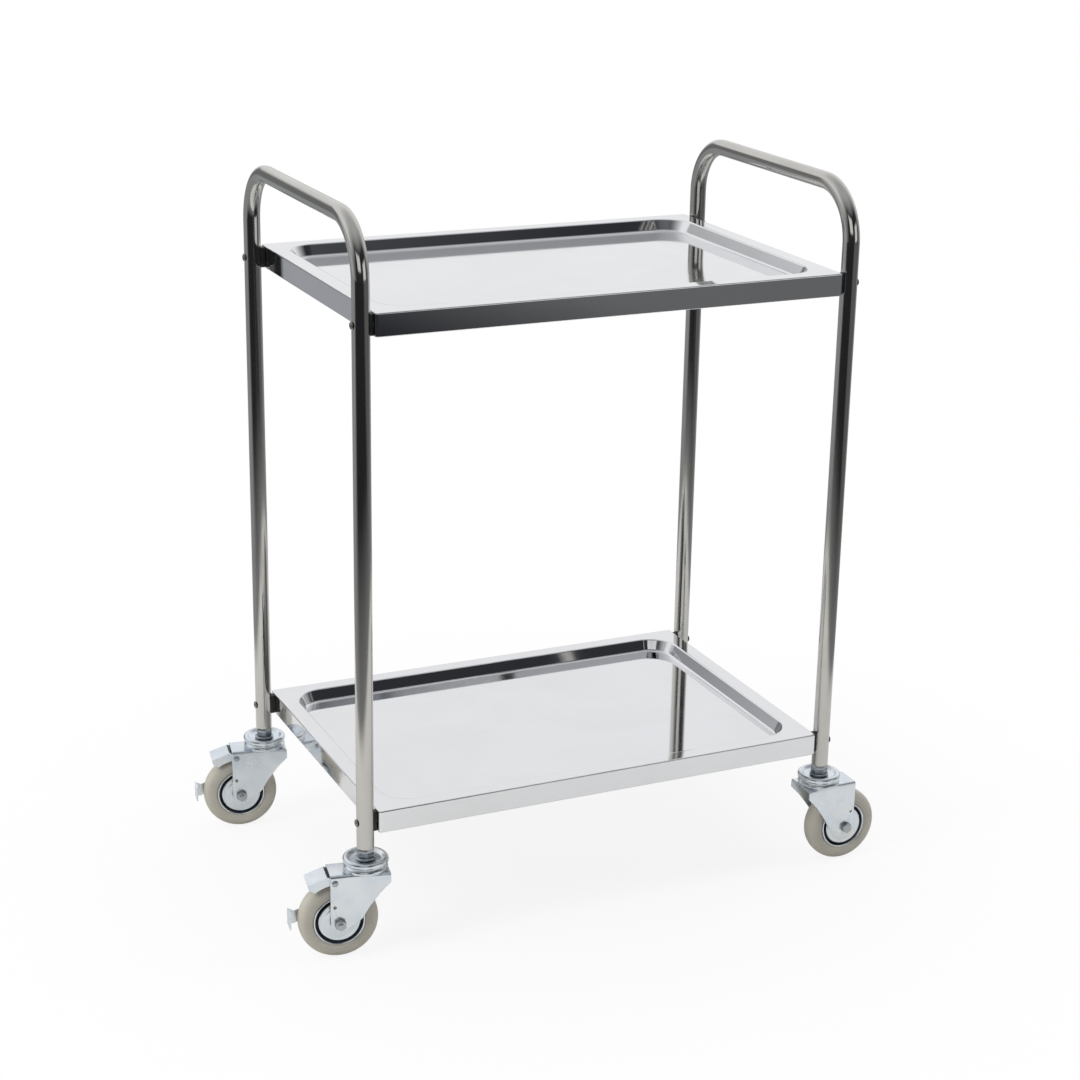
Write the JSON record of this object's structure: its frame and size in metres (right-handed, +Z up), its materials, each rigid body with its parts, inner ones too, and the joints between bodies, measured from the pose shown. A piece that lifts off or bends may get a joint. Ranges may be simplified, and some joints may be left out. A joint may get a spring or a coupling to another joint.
{
  "type": "dressing trolley",
  "caption": "Stainless steel ward trolley with an upper and a lower sunk tray between bent tube end frames, on swivel castors with brakes at the left end.",
  "frame": {"origin": "on the floor midway between the four swivel axes", "axes": "+Z up, +X to the right end, +Y to the back, with the braked castors at the -X end"},
  "size_m": [0.8436, 0.47, 0.9437],
  "materials": {
    "polished_steel": "polished stainless steel sheet and tube",
    "zinc_plate": "bright bluish zinc plate on pressed steel",
    "grey_rubber": "smooth warm grey tyre rubber",
    "black_plastic": "matte black moulding",
    "wheel_core": "moulded grey plastic"
  },
  "bodies": {
    "frame": {"left_end_frame": "polished_steel", "right_end_frame": "polished_steel", "lower_tray": "polished_steel", "upper_tray": "polished_steel", "lower_front_left_spacer": "black_plastic", "lower_front_left_bolt": "zinc_plate", "lower_back_left_spacer": "black_plastic", "lower_back_left_bolt": "zinc_plate", "lower_front_right_spacer": "black_plastic", "lower_front_right_bolt": "zinc_plate", "lower_back_right_spacer": "black_plastic", "lower_back_right_bolt": "zinc_plate", "upper_front_left_spacer": "black_plastic", "upper_front_left_bolt": "zinc_plate", "upper_back_left_spacer": "black_plastic", "upper_back_left_bolt": "zinc_plate", "upper_front_right_spacer": "black_plastic", "upper_front_right_bolt": "zinc_plate", "upper_back_right_spacer": "black_plastic", "upper_back_right_bolt": "zinc_plate", "front_left_stem": "zinc_plate", "front_left_swivel_cap": "zinc_plate", "back_left_stem": "zinc_plate", "back_left_swivel_cap": "zinc_plate", "front_right_stem": "zinc_plate", "front_right_swivel_cap": "zinc_plate", "back_right_stem": "zinc_plate", "back_right_swivel_cap": "zinc_plate"},
    "front_left_swivel": {"front_left_fork": "zinc_plate", "front_left_axle_bolt": "zinc_plate", "front_left_axle_nut": "zinc_plate", "front_left_brake_pin": "zinc_plate"},
    "front_left_wheel": {"front_left_tyre": "grey_rubber", "front_left_wheel_core": "wheel_core", "front_left_nut_side_guard": "zinc_plate", "front_left_head_side_guard": "zinc_plate"},
    "front_left_brake": {"front_left_brake_lever": "zinc_plate"},
    "back_left_swivel": {"back_left_fork": "zinc_plate", "back_left_axle_bolt": "zinc_plate", "back_left_axle_nut": "zinc_plate", "back_left_brake_pin": "zinc_plate"},
    "back_left_wheel": {"back_left_tyre": "grey_rubber", "back_left_wheel_core": "wheel_core", "back_left_nut_side_guard": "zinc_plate", "back_left_head_side_guard": "zinc_plate"},
    "back_left_brake": {"back_left_brake_lever": "zinc_plate"},
    "front_right_swivel": {"front_right_fork": "zinc_plate", "front_right_axle_bolt": "zinc_plate", "front_right_axle_nut": "zinc_plate"},
    "front_right_wheel": {"front_right_tyre": "grey_rubber", "front_right_wheel_core": "wheel_core", "front_right_nut_side_guard": "zinc_plate", "front_right_head_side_guard": "zinc_plate"},
    "back_right_swivel": {"back_right_fork": "zinc_plate", "back_right_axle_bolt": "zinc_plate", "back_right_axle_nut": "zinc_plate"},
    "back_right_wheel": {"back_right_tyre": "grey_rubber", "back_right_wheel_core": "wheel_core", "back_right_nut_side_guard": "zinc_plate", "back_right_head_side_guard": "zinc_plate"}
  },
  "joints": [
    {"name": "front_left_swivel_turn", "type": "hinge", "parent": "frame", "child": "front_left_swivel", "pos_m": [-0.33, -0.204, 0.12], "axis": [0, 0, 1], "continuous": true},
    {"name": "front_left_wheel_spin", "type": "hinge", "parent": "front_left_swivel", "child": "front_left_wheel", "pos_m": [-0.36545, -0.19775, 0.051], "axis": [-0.1736, -0.9848, 0], "continuous": true},
    {"name": "front_left_brake_press", "type": "hinge", "parent": "front_left_swivel", "child": "front_left_brake", "pos_m": [-0.37136, -0.19671, 0.1075], "axis": [-0.1736, -0.9848, 0], "range_deg": [0, 5]},
    {"name": "back_left_swivel_turn", "type": "hinge", "parent": "frame", "child": "back_left_swivel", "pos_m": [-0.33, 0.204, 0.12], "axis": [0, 0, 1], "continuous": true},
    {"name": "back_left_wheel_spin", "type": "hinge", "parent": "back_left_swivel", "child": "back_left_wheel", "pos_m": [-0.36545, 0.21025, 0.051], "axis": [-0.1736, -0.9848, 0], "continuous": true},
    {"name": "back_left_brake_press", "type": "hinge", "parent": "back_left_swivel", "child": "back_left_brake", "pos_m": [-0.37136, 0.21129, 0.1075], "axis": [-0.1736, -0.9848, 0], "range_deg": [0, 5]},
    {"name": "front_right_swivel_turn", "type": "hinge", "parent": "frame", "child": "front_right_swivel", "pos_m": [0.33, -0.204, 0.12], "axis": [0, 0, 1], "continuous": true},
    {"name": "front_right_wheel_spin", "type": "hinge", "parent": "front_right_swivel", "child": "front_right_wheel", "pos_m": [0.366, -0.204, 0.051], "axis": [0, 1, 0], "continuous": true},
    {"name": "back_right_swivel_turn", "type": "hinge", "parent": "frame", "child": "back_right_swivel", "pos_m": [0.33, 0.204, 0.12], "axis": [0, 0, 1], "continuous": true},
    {"name": "back_right_wheel_spin", "type": "hinge", "parent": "back_right_swivel", "child": "back_right_wheel", "pos_m": [0.36565, 0.19899, 0.051], "axis": [0.1392, 0.9903, 0], "continuous": true}
  ]
}
